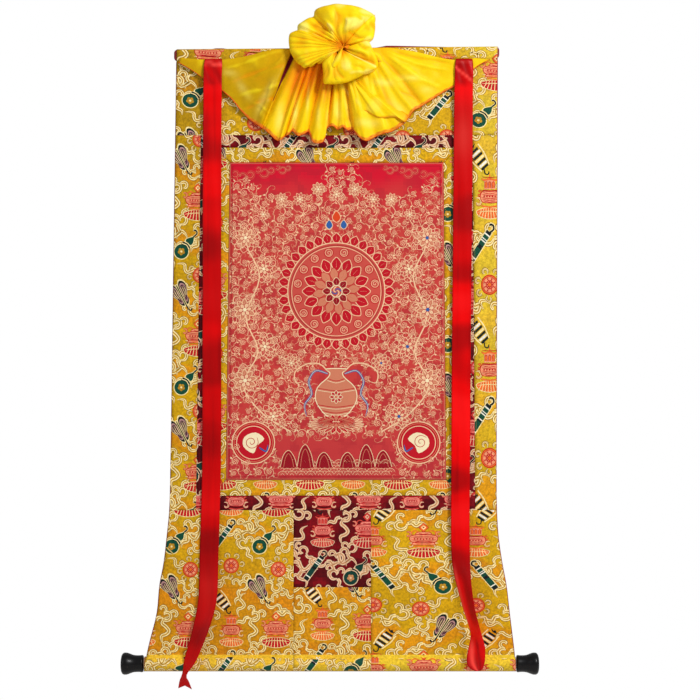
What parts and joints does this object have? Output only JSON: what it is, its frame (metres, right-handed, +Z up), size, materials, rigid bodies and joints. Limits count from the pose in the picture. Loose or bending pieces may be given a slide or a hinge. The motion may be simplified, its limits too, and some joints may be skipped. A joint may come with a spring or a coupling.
{
  "type": "thangka scroll painting",
  "caption": "Hanging scroll painting in a brocade mount with a top stave, bottom roller and knobs, a swagged silk veil with a rosette, and satin ribbons.",
  "frame": {"origin": "middle of the top edge of the top stave, where the scroll is hung", "axes": "+Z up, -Y out of the painted front, +X to the right as the front is seen"},
  "size_m": [0.8597, 0.0931, 1.4047],
  "materials": {
    "top_stave": "dark red paint",
    "brocade_top": "silk brocade",
    "brocade_left": "silk brocade",
    "brocade_right": "silk brocade",
    "brocade_low_left": "silk brocade",
    "brocade_low_mid": "silk brocade",
    "brocade_low_right": "silk brocade",
    "frame_red_top": "silk brocade",
    "frame_red_bottom": "silk brocade",
    "frame_red_left": "silk brocade",
    "frame_red_right": "silk brocade",
    "inner_top": "silk brocade",
    "inner_bottom": "silk brocade",
    "inner_left": "silk brocade",
    "inner_right": "silk brocade",
    "painting": "painted cotton",
    "door": "silk brocade",
    "lining": "plain cotton",
    "roller": "bare wood",
    "knob_left": "black lacquer",
    "knob_right": "black lacquer",
    "veil": "thin silk",
    "ribbon_left": "satin",
    "ribbon_right": "satin"
  },
  "bodies": {
    "root": {"top_stave": "top_stave", "brocade_top": "brocade_top", "brocade_left": "brocade_left", "brocade_right": "brocade_right", "brocade_low_left": "brocade_low_left", "brocade_low_mid": "brocade_low_mid", "brocade_low_right": "brocade_low_right", "frame_red_top": "frame_red_top", "frame_red_bottom": "frame_red_bottom", "frame_red_left": "frame_red_left", "frame_red_right": "frame_red_right", "inner_top": "inner_top", "inner_bottom": "inner_bottom", "inner_left": "inner_left", "inner_right": "inner_right", "painting": "painting", "door": "door", "lining": "lining", "roller": "roller", "knob_left": "knob_left", "knob_right": "knob_right", "veil": "veil", "ribbon_left": "ribbon_left", "ribbon_right": "ribbon_right"}
  },
  "joints": []
}
